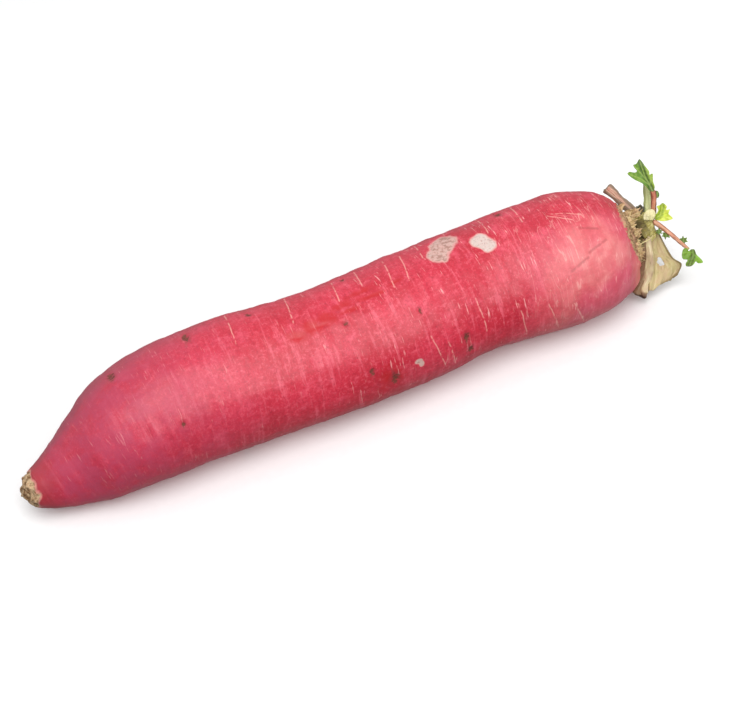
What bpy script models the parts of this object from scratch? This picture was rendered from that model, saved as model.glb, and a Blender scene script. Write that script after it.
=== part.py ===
"""Daikon radish: a whole red-skinned root lying on its side, with its dry crown and leaf stubs.

Metres, +Z up. The tail points along -X and the crown along +X. All sizes below are millimetres.
"""
import math

import bmesh
import bpy
from mathutils import Vector
from mathutils.geometry import delaunay_2d_cdt

MM = 0.001

# Taproot, tail to crown: centre line x, y, z and radius
ROOT_LINE = (
    (-171.5, 6.0, 16.0, 10.0),
    (-163.0, 6.0, 17.0, 13.5),
    (-153.5, 6.0, 19.0, 17.5),
    (-143.5, 6.5, 21.5, 22.0),
    (-133.0, 6.0, 25.0, 26.0),
    (-123.0, 6.5, 28.5, 29.0),
    (-105.5, 8.0, 31.5, 31.5),
    (-70.0, 8.5, 32.5, 32.5),
    (-18.5, 5.5, 32.0, 32.0),
    (26.0, 5.5, 33.0, 33.0),
    (67.0, 9.0, 32.5, 32.5),
    (112.0, 5.5, 34.0, 34.0),
    (125.5, 4.0, 33.5, 32.5),
    (136.5, 4.5, 32.0, 30.0),
    (144.5, 5.0, 30.0, 26.5),
    (149.5, 6.0, 27.5, 22.5),
    (152.5, 6.5, 26.0, 19.0),
)
ROOT_RINGS = 68
ROOT_SIDES = 44
ROOT_TAIL_CAP = ((2.2, 0.92), (4.2, 0.74), (5.8, 0.5), (6.6, 0.24))
ROOT_CROWN_CAP = ((0.6, 0.94), (1.0, 0.78), (1.2, 0.5))
ROOT_END_WAY = Vector((0.99, -0.14, 0.02))
REST_SINK = 0.8

# Crown knob: distance out, radius; past the collar its middle drifts by CROWN_LEAN per mm out
CROWN_SEAT = Vector((154.5, 6.5, 25.2))
CROWN_RINGS = (
    (-0.4, 13.8), (1.2, 13.4), (3.2, 11.4), (5.5, 9.6), (8.0, 8.4), (10.5, 7.6), (12.6, 6.0), (14.2, 3.3),
)
CROWN_LEAN = Vector((0.0, 0.22, 0.60))
CROWN_SIDES = 24

# The shoots fan out in one leaning plane: its side, its rise and the way it faces
FAN_SIDE = Vector((0.906, -0.401, -0.137))
FAN_RISE = Vector((0.350, 0.525, 0.776))
FAN_FACE = Vector((-0.240, -0.751, 0.616))

# Dry papery scales standing in a ring round the foot of the crown
SCALE_ANGLES_DEG = (32.0, 93.0, 128.0, 163.0, 285.0, 320.0, 356.0)
SCALE_WIDTH_DEG = 32.0
SCALE_THICK = 0.8


def clear_scene():
    for thing in list(bpy.data.objects):
        bpy.data.objects.remove(thing, do_unlink=True)


def material(name, colour, roughness):
    mat = bpy.data.materials.get(name)
    if mat is None:
        mat = bpy.data.materials.new(name)
        mat.use_nodes = True
        shader = mat.node_tree.nodes["Principled BSDF"]
        shader.inputs["Base Color"].default_value = (*colour, 1.0)
        shader.inputs["Roughness"].default_value = roughness
    return mat


def finish(name, bm, mat):
    """Turn a closed bmesh drawn in millimetres into a named object in metres."""
    bmesh.ops.recalc_face_normals(bm, faces=bm.faces[:])
    bmesh.ops.scale(bm, vec=(MM, MM, MM), verts=bm.verts[:])
    mesh = bpy.data.meshes.new(name)
    bm.to_mesh(mesh)
    bm.free()
    mesh.materials.append(mat)
    piece = bpy.data.objects.new(name, mesh)
    bpy.context.scene.collection.objects.link(piece)
    return piece


def curve_point(rows, t):
    """Catmull-Rom point at t (0 to 1) through rows of numbers."""
    last = len(rows) - 1
    place = min(max(t, 0.0), 1.0) * last
    i = min(int(place), last - 1)
    f = place - i
    a = rows[max(i - 1, 0)]
    b = rows[i]
    c = rows[i + 1]
    d = rows[min(i + 2, last)]
    out = []
    for p, q, r, s in zip(a, b, c, d):
        v = 2 * q + (r - p) * f + (2 * p - 5 * q + 4 * r - s) * f * f + (3 * q - p - 3 * r + s) * f ** 3
        out.append(0.5 * v)
    return out


def cross_axes(along, wide):
    """Unit width and thickness directions square to a direction."""
    side = wide - along * wide.dot(along)
    side.normalize()
    return side, along.cross(side).normalized()


def loft(bm, rings):
    """Closed body through rings of equal length, fanned shut at both ends."""
    rows = []
    for ring in rings:
        rows.append([bm.verts.new(p) for p in ring])
    count = len(rows[0])
    for lower, upper in zip(rows, rows[1:]):
        for i in range(count):
            j = (i + 1) % count
            bm.faces.new((lower[i], lower[j], upper[j], upper[i]))
    for row in (rows[0], rows[-1]):
        middle = sum((v.co for v in row), Vector()) / count
        hub = bm.verts.new(middle)
        for i in range(count):
            bm.faces.new((row[i], row[(i + 1) % count], hub))


def tube(name, mat, path, sizes, wide, sides=12, steps=10, hollow=0.0):
    """Tapering stalk: path points, (width, thickness) rows, and the direction of its width."""
    rings = []
    spots = [Vector(curve_point(path, i / steps)) for i in range(steps + 1)]
    for i, spot in enumerate(spots):
        along = (spots[min(i + 1, steps)] - spots[max(i - 1, 0)]).normalized()
        side, up = cross_axes(along, Vector(wide))
        w, h = curve_point(sizes, i / steps)
        ring = []
        for k in range(sides):
            a = 2 * math.pi * k / sides
            ring.append(spot + side * (0.5 * w * math.cos(a)) + up * (0.5 * h * math.sin(a)))
        rings.append(ring)
    if hollow:
        end = spots[-1]
        along = (spots[-1] - spots[-2]).normalized()
        rim = rings[-1]
        rings.append([end + (p - end) * 0.6 for p in rim])
        rings.append([end + (p - end) * 0.45 - along * hollow for p in rim])
    bm = bmesh.new()
    loft(bm, rings)
    return finish(name, bm, mat)


def sheet(name, mat, rows, thick):
    """Thin closed sheet over a grid of points; rows run along it, columns across."""
    bm = bmesh.new()
    grid = [[Vector(p) for p in row] for row in rows]
    high = len(grid)
    wide = len(grid[0])
    faces = []
    for side in (0.5, -0.5):
        layer = []
        for i in range(high):
            line = []
            for j in range(wide):
                du = grid[min(i + 1, high - 1)][j] - grid[max(i - 1, 0)][j]
                dv = grid[i][min(j + 1, wide - 1)] - grid[i][max(j - 1, 0)]
                line.append(bm.verts.new(grid[i][j] + du.cross(dv).normalized() * (thick * side)))
            layer.append(line)
        faces.append(layer)
    top, low = faces
    for i in range(high - 1):
        for j in range(wide - 1):
            for layer in (top, low):
                bm.faces.new((layer[i][j], layer[i + 1][j], layer[i + 1][j + 1], layer[i][j + 1]))
    rim = [(0, j) for j in range(wide)]
    rim += [(i, wide - 1) for i in range(1, high)]
    rim += [(high - 1, j) for j in range(wide - 2, -1, -1)]
    rim += [(i, 0) for i in range(high - 2, 0, -1)]
    for a, b in zip(rim, rim[1:] + rim[:1]):
        bm.faces.new((top[a[0]][a[1]], top[b[0]][b[1]], low[b[0]][b[1]], low[a[0]][a[1]]))
    return finish(name, bm, mat)


def blade(name, mat, outline, base, tip_way, across_way, thick, fold=0.0, curl=0.0):
    """Leaf cut to an outline (across, along), folded up from its midrib and curled at the tip."""
    along = Vector(tip_way).normalized()
    across, face = cross_axes(along, Vector(across_way))
    count = len(outline)
    edges = [(i, (i + 1) % count) for i in range(count)]
    flat, _, tris, _, _, _ = delaunay_2d_cdt([Vector(p) for p in outline], edges, [], 1, 1e-4)
    reach = max(p[1] for p in outline)
    bm = bmesh.new()
    layers = []
    for side in (0.5, -0.5):
        layer = []
        for p in flat:
            lift = fold * abs(p.x) + curl * (p.y / reach) ** 2 + side * thick
            layer.append(bm.verts.new(Vector(base) + across * p.x + along * p.y + face * lift))
        layers.append(layer)
    use = {}
    for tri in tris:
        for layer in layers:
            bm.faces.new([layer[i] for i in tri])
        for a, b in zip(tri, tri[1:] + tri[:1]):
            key = (min(a, b), max(a, b))
            use[key] = use.get(key, 0) + 1
    for (a, b), times in use.items():
        if times == 1:
            bm.faces.new((layers[0][a], layers[0][b], layers[1][b], layers[1][a]))
    return finish(name, bm, mat)


def make_taproot():
    """The one solid root: swollen, nearly round, drooping to a blunt corky tail."""
    steps = ROOT_RINGS
    line = [curve_point(ROOT_LINE, i / steps) for i in range(steps + 1)]
    rings = []
    ways = []
    for i, (x, y, z, r) in enumerate(line):
        ahead = Vector(line[min(i + 2, steps)][:3]) - Vector(line[max(i - 2, 0)][:3])
        share = min(max((x - 100.0) / 50.0, 0.0), 1.0)
        along = ahead.normalized().lerp(ROOT_END_WAY, share).normalized()
        ways.append(along)
        rings.append(root_ring(Vector((x, y, z)), r, along))
    start = Vector(line[0][:3])
    for out, share in ROOT_TAIL_CAP:
        rings.insert(0, root_ring(start - ways[0] * out, line[0][3] * share, ways[0]))
    end = Vector(line[-1][:3])
    for out, share in ROOT_CROWN_CAP:
        rings.append(root_ring(end + ways[-1] * out, line[-1][3] * share, ways[-1]))
    bm = bmesh.new()
    loft(bm, rings)
    for v in bm.verts:
        v.co.z = max(v.co.z - REST_SINK, 0.0)
    return finish("taproot", bm, material("skin", (0.56, 0.05, 0.09), 0.45))


def root_ring(centre, radius, along):
    side, up = cross_axes(along, Vector((0.0, 1.0, 0.0)))
    ring = []
    for k in range(ROOT_SIDES):
        a = 2 * math.pi * k / ROOT_SIDES - math.pi / 2
        lump = 0.006 * math.cos(2 * a + centre.x * 0.02) + 0.004 * math.cos(3 * a - centre.x * 0.035)
        r = radius * (1 + lump * min(radius / 20.0, 1.0))
        ring.append(centre + side * (r * math.cos(a)) + up * (r * math.sin(a)))
    return ring


def make_crown():
    """Short fibrous stem the leaves grew from, sitting a little off the middle of the root's end."""
    way = ROOT_END_WAY.normalized()
    side, up = cross_axes(way, Vector((0.0, 1.0, 0.0)))
    rings = []
    for out, radius in CROWN_RINGS:
        centre = CROWN_SEAT + way * out + CROWN_LEAN * max(out - 2.0, 0.0)
        ring = []
        for k in range(CROWN_SIDES):
            a = 2 * math.pi * k / CROWN_SIDES
            r = radius * (1 + 0.04 * math.cos(5 * a) + 0.03 * math.cos(3 * a + 1.0))
            ring.append(centre + side * (r * math.cos(a)) + up * (r * math.sin(a)))
        rings.append(ring)
    bm = bmesh.new()
    loft(bm, rings)
    return finish("crown", bm, material("crown_tissue", (0.17, 0.13, 0.04), 0.8))


def make_stubs():
    """Cut and dried leaf stalks left standing on the crown."""
    dry = material("dry_stalk", (0.45, 0.33, 0.17), 0.75)
    green = material("green_stalk", (0.50, 0.52, 0.24), 0.6)
    at = CROWN_SEAT
    path = [at + Vector(p) for p in ((6.6, 6.9, 14.1), (4.7, 8.4, 16.8), (1.3, 12.0, 21.6), (-2.5, 15.7, 26.3))]
    tube("upper_stub", dry, path, ((5.0, 4.4), (5.0, 3.6), (5.4, 3.4), (6.0, 3.6)), (0.9, -0.3, 0.4))
    path = [at + Vector(p) for p in ((11.8, 8.6, 13.1), (12.1, 9.3, 13.9), (12.5, 10.2, 14.8))]
    tube("short_stub", dry, path, ((4.4, 4.0), (4.5, 4.1), (4.6, 4.2)), (1.0, -0.4, 0.0), steps=4, hollow=1.4)
    path = [at + Vector(p) for p in ((15.7, 7.6, 8.8), (18.7, 12.4, 14.3), (21.6, 17.7, 20.3))]
    tube("pale_stub", green, path, ((4.6, 3.6), (4.5, 3.2), (4.4, 3.0)), (0.9, -0.4, -0.1))


def make_sprout():
    """New shoot beside the old stalks: red-tinged stem, one lobed leaf and a small bract."""
    stem = material("red_stalk", (0.48, 0.20, 0.13), 0.55)
    leaf = material("leaf", (0.22, 0.36, 0.04), 0.5)
    at = CROWN_SEAT
    path = [at + Vector(p) for p in ((16.2, 3.4, 10.4), (17.7, 4.6, 14.1), (19.0, 6.4, 17.6), (19.2, 8.1, 20.6))]
    tube("sprout_stalk", stem, path, ((3.2, 3.0), (3.0, 2.6), (2.8, 2.4), (2.4, 2.0)), (0.9, -0.4, 0.0))
    outline = (
        (0.9, 0.0), (1.5, 2.4), (0.6, 5.6), (0.3, 9.0), (-1.2, 8.6), (-1.5, 10.3), (-3.5, 13.0),
        (-6.2, 16.5), (-7.4, 15.0), (-8.3, 14.0), (-9.6, 13.5), (-9.1, 12.1), (-7.8, 10.5),
        (-8.9, 9.6), (-11.6, 9.9), (-12.8, 8.9), (-11.5, 7.6), (-8.9, 5.9), (-4.4, 3.8), (-1.2, 0.6),
    )
    blade("sprout_leaf", leaf, outline, at + Vector((18.1, 6.6, 22.1)), FAN_RISE, FAN_SIDE, 0.7, fold=0.12)
    outline = ((0.8, 0.0), (1.2, 1.6), (0.5, 3.2), (-0.6, 3.4), (-0.8, 1.6), (-0.6, 0.0))
    blade("sprout_bract", leaf, outline, at + Vector((21.1, 5.1, 17.2)), FAN_RISE, FAN_SIDE, 0.7)


def make_young_leaves():
    """Crumpled yellow-green leaf and cream bud scale pressed against the front of the crown."""
    young = material("young_leaf", (0.45, 0.50, 0.06), 0.55)
    cream = material("bud_scale", (0.66, 0.60, 0.35), 0.6)
    at = CROWN_SEAT
    outline = (
        (0.6, 0.0), (2.4, -0.7), (5.3, -1.0), (8.9, -0.1), (9.1, 0.8), (7.4, 2.8), (7.9, 5.0),
        (6.2, 4.9), (6.4, 6.8), (4.4, 8.4), (2.9, 7.3), (1.4, 6.7), (2.1, 4.6), (1.2, 2.8), (0.2, 1.6),
    )
    blade("young_leaf", young, outline, at + Vector((14.4, -2.7, 11.2)), FAN_RISE, FAN_SIDE, 0.9, fold=0.1)
    rows = []
    for i in range(5):
        t = i / 4
        rows.append([])
        for j in range(5):
            u = j / 2 - 1
            wide = 2.5 * (1 - 0.4 * t * t)
            spot = FAN_SIDE * (wide * u) + FAN_RISE * (3.8 * t - 1.9) + FAN_FACE * (0.9 - 0.9 * u * u)
            rows[-1].append(at + Vector((11.4, -2.0, 14.2)) + spot)
    sheet("bud_scale", cream, rows, 0.8)


def make_side_sprig():
    """Thin pink stalk hanging out sideways with small lobes and a green leaf at its tip."""
    stem = material("red_stalk", (0.48, 0.20, 0.13), 0.55)
    leaf = material("leaf", (0.22, 0.36, 0.04), 0.5)
    at = CROWN_SEAT
    path = [at + Vector(p) for p in (
        (13.8, -5.8, 8.9), (15.0, -6.8, 8.0), (17.9, -10.3, 5.0), (20.6, -15.4, 1.4), (23.0, -19.5, -1.9))]
    sizes = ((2.8, 2.6), (2.6, 2.4), (2.4, 2.2), (2.0, 1.8), (1.4, 1.3))
    tube("side_stalk", stem, path, sizes, (0.5, 0.3, 0.8), sides=10, steps=12)
    outline = (
        (0.9, 0.3), (1.8, -2.1), (4.4, -5.0), (4.9, -6.5), (2.9, -6.8), (1.5, -5.9), (0.6, -7.1),
        (-0.9, -8.3), (-3.2, -8.3), (-3.5, -6.8), (-2.7, -5.0), (-5.0, -4.7), (-5.7, -2.7),
        (-5.0, 0.3), (-3.2, 0.9), (-2.1, -0.6), (-0.9, 0.3),
    )
    blade("side_leaf", leaf, outline, at + Vector((24.4, -22.6, -1.5)), FAN_RISE, FAN_SIDE, 0.7, fold=0.12)
    lobe = ((0.7, 0.0), (1.9, 1.2), (1.5, 2.8), (0.0, 3.8), (-1.6, 2.6), (-1.8, 1.0), (-0.7, 0.0))
    spots = ((0.7, (22.3, -16.2, 1.9), 1), (0.8, (15.6, -10.1, 4.9), -1), (0.7, (13.1, -7.7, 6.4), -1))
    for i, (size, spot, turn) in enumerate(spots):
        small = [(size * p[0], size * p[1]) for p in lobe]
        name = "side_leaflet_%d" % (i + 1)
        blade(name, leaf, small, at + Vector(spot), FAN_RISE * turn, FAN_SIDE, 0.7, fold=0.15)


def make_hanging_stubs():
    """Two wide withered leaf stalks, split from each other, hanging down the front of the end."""
    dry = material("dry_stalk", (0.45, 0.33, 0.17), 0.75)
    at = CROWN_SEAT
    path = [at + Vector(p) for p in (
        (5.0, -12.7, 6.4), (4.0, -13.7, 0.6), (3.2, -13.9, -6.4), (0.9, -15.3, -15.2), (-5.2, -19.4, -19.4))]
    sizes = ((4.8, 3.0), (6.2, 2.8), (6.8, 2.6), (7.0, 2.6), (8.6, 2.4))
    tube("front_stub", dry, path, sizes, (0.91, -0.4, -0.14), sides=16, steps=12)
    left = ((12.2, -8.4, 2.2), (10.2, -11.2, -2.6), (11.2, -12.8, -6.4), (8.0, -15.6, -10.2), (5.4, -19.4, -15.4))
    right = ((15.2, -7.2, 2.2), (16.0, -10.4, -3.4), (16.8, -14.0, -9.0), (20.4, -17.8, -12.4), (15.4, -18.6, -16.2))
    rows = []
    for i in range(13):
        t = i / 12
        a = Vector(curve_point(left, t))
        b = Vector(curve_point(right, t))
        rows.append([])
        for j in range(7):
            u = j / 6
            bow = math.sin(math.pi * u) * 1.2
            rows[-1].append(at + a.lerp(b, u) + Vector((0.1, 0.75, -0.6)) * bow)
    sheet("back_stub", dry, rows, 1.2)


def make_dry_scales():
    """Broken papery scales and leaf scars round the foot of the crown."""
    papery = material("dry_scale", (0.55, 0.42, 0.24), 0.8)
    way = ROOT_END_WAY.normalized()
    side, up = cross_axes(way, Vector((0.0, 1.0, 0.0)))
    for n, angle in enumerate(SCALE_ANGLES_DEG):
        middle = math.radians(angle)
        reach = 18.0 + 1.2 * math.cos(2.3 * n)
        rows = []
        for i in range(4):
            t = i / 3
            rows.append([])
            for j in range(7):
                u = j / 6 * 2 - 1
                a = middle + math.radians(SCALE_WIDTH_DEG * 0.5) * u * (1 - 0.25 * t)
                r = 14.6 + (reach - 14.6) * t * (1 - 0.15 * u * u)
                out = 2.9 - 2.0 * t * t + 0.4 * math.sin(3 * a) * t
                rows[-1].append(CROWN_SEAT + way * out + side * (r * math.cos(a)) + up * (r * math.sin(a)))
        sheet("dry_scale_%d" % (n + 1), papery, rows, SCALE_THICK)


def centre_on_floor():
    """Move every piece so that the whole part's box is centred on X and Y and stands on Z zero."""
    corners = [v.co for thing in bpy.data.objects for v in thing.data.vertices]
    low = Vector([min(c[k] for c in corners) for k in range(3)])
    high = Vector([max(c[k] for c in corners) for k in range(3)])
    for thing in bpy.data.objects:
        thing.location = (-(low.x + high.x) / 2, -(low.y + high.y) / 2, -low.z)


clear_scene()
make_taproot()
make_crown()
make_stubs()
make_sprout()
make_young_leaves()
make_side_sprig()
make_hanging_stubs()
make_dry_scales()
centre_on_floor()
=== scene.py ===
import math

import bpy
import numpy as np
from mathutils import Matrix, Vector
from mathutils.bvhtree import BVHTree
from mathutils.geometry import delaunay_2d_cdt


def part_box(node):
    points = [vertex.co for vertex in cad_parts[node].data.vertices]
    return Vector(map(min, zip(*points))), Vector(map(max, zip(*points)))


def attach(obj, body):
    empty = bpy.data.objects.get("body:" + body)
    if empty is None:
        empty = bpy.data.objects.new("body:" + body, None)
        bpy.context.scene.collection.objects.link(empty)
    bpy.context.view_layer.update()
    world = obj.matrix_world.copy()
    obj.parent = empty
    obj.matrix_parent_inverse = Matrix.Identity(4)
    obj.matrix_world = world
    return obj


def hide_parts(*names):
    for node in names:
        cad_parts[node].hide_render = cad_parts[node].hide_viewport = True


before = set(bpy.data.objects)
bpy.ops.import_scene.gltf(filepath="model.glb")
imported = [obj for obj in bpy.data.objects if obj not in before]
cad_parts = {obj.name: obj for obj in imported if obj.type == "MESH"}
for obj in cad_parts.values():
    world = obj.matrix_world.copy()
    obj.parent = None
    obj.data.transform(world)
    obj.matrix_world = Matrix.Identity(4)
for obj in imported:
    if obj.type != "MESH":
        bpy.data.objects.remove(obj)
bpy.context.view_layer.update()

# ---------------------------------------------------------------- Camera
# A long lens one metre off, looking down on the radish from its front, with the radish running
# from the lower left, where its tail is, up to the crown at the right.

AIM = Vector((-0.0015, -0.0064, 0.0192))
DISTANCE = 1.0034
SWUNG, TIPPED, ROLLED = -17.7, 52.0, -10.0  # degrees about the upright, from straight down, about the lens
turn = Matrix()
for degrees, axis in ((SWUNG, "Z"), (TIPPED, "X"), (ROLLED, "Z")):
    turn = turn @ Matrix.Rotation(math.radians(degrees), 4, axis)
lens = bpy.data.cameras.new("camera")
lens.lens = 100.0
lens.sensor_width = 36.0
camera = bpy.data.objects.new("camera", lens)
camera.matrix_world = Matrix.Translation(AIM + turn.to_3x3() @ Vector((0.0, 0.0, DISTANCE))) @ turn
bpy.context.scene.collection.objects.link(camera)
bpy.context.scene.camera = camera
bpy.context.scene.view_settings.view_transform = "Standard"

# ---------------------------------------------------------------- Floor and light
# A white seamless sweep of paper under a wide overhead soft box, with a pale room all round, so
# the radish stands on clean white with only a faint soft shadow under it.


def srgb(red, green, blue):
    """Linear colour for a shader from everyday 0 to 255 values."""
    out = []
    for value in (red, green, blue):
        v = value / 255.0
        out.append(v / 12.92 if v <= 0.04045 else ((v + 0.055) / 1.055) ** 2.4)
    return (*out, 1.0)


def feed(tree, kind, values=None, **settings):
    """New shader node: sockets by name or number take a value or another node's output."""
    made = tree.nodes.new("ShaderNode" + kind)
    for key, value in settings.items():
        setattr(made, key, value)
    for key, value in (values or {}).items():
        if isinstance(value, bpy.types.NodeSocket):
            tree.links.new(value, made.inputs[key])
        else:
            made.inputs[key].default_value = value
    return made


def noise(where, size, detail=3.0, rough=0.55):
    """Cloudy grey pattern whose lumps are one size across, in the units of its coordinates."""
    values = {"Vector": where, "Scale": 1.0 / size, "Detail": detail, "Roughness": rough}
    return feed(where.id_data, "TexNoise", values).outputs[0]


def tint(mask, under, over):
    """Colour over laid on colour under where the mask is 1; plain colours are 0 to 255 triples."""
    under, over = (srgb(*value) if isinstance(value, tuple) else value for value in (under, over))
    return feed(mask.id_data, "Mix", {0: mask, 6: under, 7: over}, data_type="RGBA").outputs[2]


def new_look(name):
    """Material, its node tree and its main shader."""
    mat = bpy.data.materials.new(name)
    mat.use_nodes = True
    return mat, mat.node_tree, mat.node_tree.nodes["Principled BSDF"]


def dress(shader, colour, rough, relief, strength, depth):
    """Gives a shader its colour, roughness and bump; depth is in metres."""
    tree = shader.id_data
    bump = feed(tree, "Bump", {"Height": relief, "Strength": strength, "Distance": depth})
    for key, value in (("Base Color", colour), ("Roughness", rough), ("Normal", bump.outputs[0])):
        if isinstance(value, float):
            shader.inputs[key].default_value = value
        else:
            tree.links.new(value, shader.inputs[key])


def between(pattern, low, high, start=0.0, end=1.0):
    """A pattern's run from start to end turned into one from low to high."""
    values = {"Value": pattern, "From Min": start, "From Max": end, "To Min": low, "To Max": high}
    return feed(pattern.id_data, "MapRange", values).outputs[0]


paper, tree, shader = new_look("white_paper")
where = feed(tree, "TexCoord").outputs["Object"]
fibre = noise(where, 0.004, detail=4.0)
dress(shader, tint(fibre, (244, 244, 244), (250, 250, 250)), 0.9, fibre, 0.05, 0.0002)

sheet_mesh = bpy.data.meshes.new("floor")
HALF_FLOOR = 3.0
corners = [(x * HALF_FLOOR, y * HALF_FLOOR, 0) for x, y in ((-1, -1), (1, -1), (1, 1), (-1, 1))]
sheet_mesh.from_pydata(corners, [], [(0, 1, 2, 3)])
floor = bpy.data.objects.new("floor", sheet_mesh)
floor.data.materials.append(paper)
floor.visible_diffuse = False
floor.visible_glossy = False
bpy.context.scene.collection.objects.link(floor)

room = bpy.data.worlds.new("pale_room")
room.use_nodes = True
bpy.context.scene.world = room
tree = room.node_tree
where = feed(tree, "TexCoord").outputs["Generated"]
height = feed(tree, "SeparateXYZ", {0: where}).outputs[2]
tree.links.new(between(height, 0.30, 0.77, -0.2, 0.5), tree.nodes["Background"].inputs["Strength"])
tree.nodes["Background"].inputs["Color"].default_value = (1.0, 1.0, 1.0, 1.0)

for name, at, size, power in (
    ("soft_box", (-0.15, -0.75, 1.40), 1.5, 15.6),
    ("front_fill", (0.45, -1.7, 0.75), 1.2, 11.5),
):
    lamp = bpy.data.lights.new(name, "AREA")
    lamp.shape = "DISK"
    lamp.size = size
    lamp.energy = power
    holder = bpy.data.objects.new(name, lamp)
    holder.location = at
    holder.rotation_euler = (-Vector(at)).to_track_quat("-Z", "Y").to_euler()
    bpy.context.scene.collection.objects.link(holder)

# ---------------------------------------------------------------- Root
# The swollen root: thin waxy crimson skin over white flesh, grown as one piece. It carries faint
# growth rings and scratches across it, small scars where fine roots broke off, two rubbed pale
# patches, and a dry corky scab where its thin end was snapped off.


MM = 0.001


def unit(way):
    """Directions of length one."""
    return way / np.linalg.norm(way, axis=-1, keepdims=True)


def ramp(value, start, end):
    """0 before start, 1 after end and straight between them; start may be above end."""
    return np.clip((value - start) / (end - start), 0, 1)


def bell(value, width):
    """1 where the value is 0, falling away on both sides over about one width."""
    return np.exp(-(value / width) ** 2)


def stacked(*parts):
    """Three rows, columns or grids of numbers as one grid of points."""
    return np.stack(np.broadcast_arrays(*parts), axis=2)


def cad_points(name):
    """Corner points of a CAD node, in metres."""
    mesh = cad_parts[name].data
    co = np.empty(len(mesh.vertices) * 3)
    mesh.vertices.foreach_get("co", co)
    return co.reshape(-1, 3)


def middle_of(name):
    """Middle of a CAD node's box, in mm."""
    low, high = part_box(name)
    return (np.array(low) + np.array(high)) / 2 / MM


def cad_tree(name):
    """Surface of a CAD node, to cast rays at."""
    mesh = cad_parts[name].data
    return BVHTree.FromPolygons([v.co for v in mesh.vertices], [tuple(p.vertices) for p in mesh.polygons])


def middle_line(name, way, count, slab):
    """Points down the middle of a CAD node, end to end, from slabs square to a direction, in mm thick."""
    co = cad_points(name)
    way = unit(np.array(way))
    along = co @ way
    line = []
    for stop in np.linspace(along.min(), along.max(), count):
        near = co[np.abs(along - stop) < slab * MM]
        middle = (near.min(0) + near.max(0)) / 2
        line.append(middle + way * (stop - middle @ way))
    line = np.array(line)
    for _ in range(3):
        line[1:-1] = (line[:-2] + 2 * line[1:-1] + line[2:]) / 4
    return line


def wrapped(name, line, insets, rows, cap_rows, sides, top, soften=0):
    """Rays from a line down a CAD node's middle out to its surface, fanning round both its ends.

    insets say how far in from the ends the line's rays start, in mm; soften evens out their bends.
    Gives ray starts, directions and lengths, each ring's tilt, the angles round it and the end points.
    """
    run = np.concatenate(([0.0], np.cumsum(np.linalg.norm(np.diff(line, axis=0), axis=1))))
    stops = np.linspace(insets[0] * MM, run[-1] - insets[1] * MM, rows)
    heart = np.stack([np.interp(stops, run, line[:, k]) for k in range(3)], axis=1)
    way = np.gradient(heart, axis=0)
    for _ in range(soften):
        way[1:-1] = (way[:-2] + 2 * way[1:-1] + way[2:]) / 4
        way[0], way[-1] = (way[0] + way[1]) / 2, (way[-1] + way[-2]) / 2
    way = unit(way)
    rise = np.radians(np.linspace(0.0, 90.0, cap_rows + 1)[1:-1])
    tilt = np.concatenate((-rise[::-1], np.zeros(rows), rise))
    heart, way = (np.pad(rows_of, ((len(rise),) * 2, (0, 0)), mode="edge") for rows_of in (heart, way))
    up = unit(np.array(top) - way * (way @ np.array(top))[:, None])
    side = np.cross(way, up)
    angle = np.linspace(0.0, 2 * math.pi, sides, endpoint=False)
    out = up[:, None] * np.cos(angle)[None, :, None] + side[:, None] * np.sin(angle)[None, :, None]
    out = out * np.cos(tilt)[:, None, None] + way[:, None] * np.sin(tilt)[:, None, None]
    surface = cad_tree(name)
    length = np.empty(out.shape[:2])
    for i in range(len(heart)):
        start = Vector(heart[i])
        for j in range(sides):
            length[i, j] = surface.ray_cast(start, Vector(out[i, j]))[3] or 0.0
    poles = []
    for i, sign in ((0, -1.0), (-1, 1.0)):
        poles.append(np.array(surface.ray_cast(Vector(heart[i]), Vector(way[i] * sign))[0]))
    return heart, out, length, tilt, angle, poles


def straightened(points, length, tilt, angle):
    """Run along rings, reach from their middle, and both as coordinates of a straight post, all in mm."""
    steps = np.linalg.norm(np.diff(points, axis=0), axis=2).mean(1)
    travel = np.concatenate(([0.0], np.cumsum(steps))) / MM
    reach = length * np.cos(tilt)[:, None] / MM
    return travel, reach, stacked(travel[:, None], reach * np.cos(angle), reach * np.sin(angle))


def blurred(values, rows, sides):
    """Gaussian blur over rings: open along them and closed round them. Widths are in steps."""
    for axis, width, mode in ((0, rows, "edge"), (1, sides, "wrap")):
        if width:
            half = int(3 * width) + 1
            weights = np.exp(-0.5 * (np.arange(-half, half + 1) / width) ** 2)
            weights /= weights.sum()
            pad = [(0, 0), (0, 0)]
            pad[axis] = (half, half)
            wide = np.moveaxis(np.pad(values, pad, mode=mode), axis, 0)
            size = values.shape[axis]
            values = sum(wide[i:i + size] * weight for i, weight in enumerate(weights))
            values = np.moveaxis(values, 0, axis)
    return values


def ripples(points, size, seed, count=20):
    """Smooth random field about one unit strong: waves about one size long, in any direction."""
    rng = np.random.default_rng(seed)
    total = np.zeros(points.shape[:-1])
    for _ in range(count):
        way = rng.normal(size=3)
        way *= 2 * math.pi / (np.linalg.norm(way) * size * rng.uniform(0.6, 1.8))
        total += np.sin(points @ way + rng.uniform(0, 2 * math.pi))
    return total * math.sqrt(2.0 / count)


def place(name, co, faces, mat, slot, nodes=(), fields=None):
    """Smooth-shaded piece riding on the root body, standing for CAD nodes, with fields for its material."""
    mesh = bpy.data.meshes.new(name)
    mesh.from_pydata([tuple(p) for p in co], [], faces)
    for key, values in (fields or {}).items():
        values = np.asarray(values, dtype=np.float32)
        if values.ndim == 2:
            mesh.attributes.new(key, "FLOAT_VECTOR", "POINT").data.foreach_set("vector", values.ravel())
        else:
            mesh.attributes.new(key, "FLOAT", "POINT").data.foreach_set("value", values)
    mesh.polygons.foreach_set("use_smooth", [True] * len(mesh.polygons))
    mesh.materials.append(mat)
    piece = bpy.data.objects.new(name, mesh)
    bpy.context.scene.collection.objects.link(piece)
    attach(piece, "root")
    if nodes:
        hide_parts(*nodes)
    return piece


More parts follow.
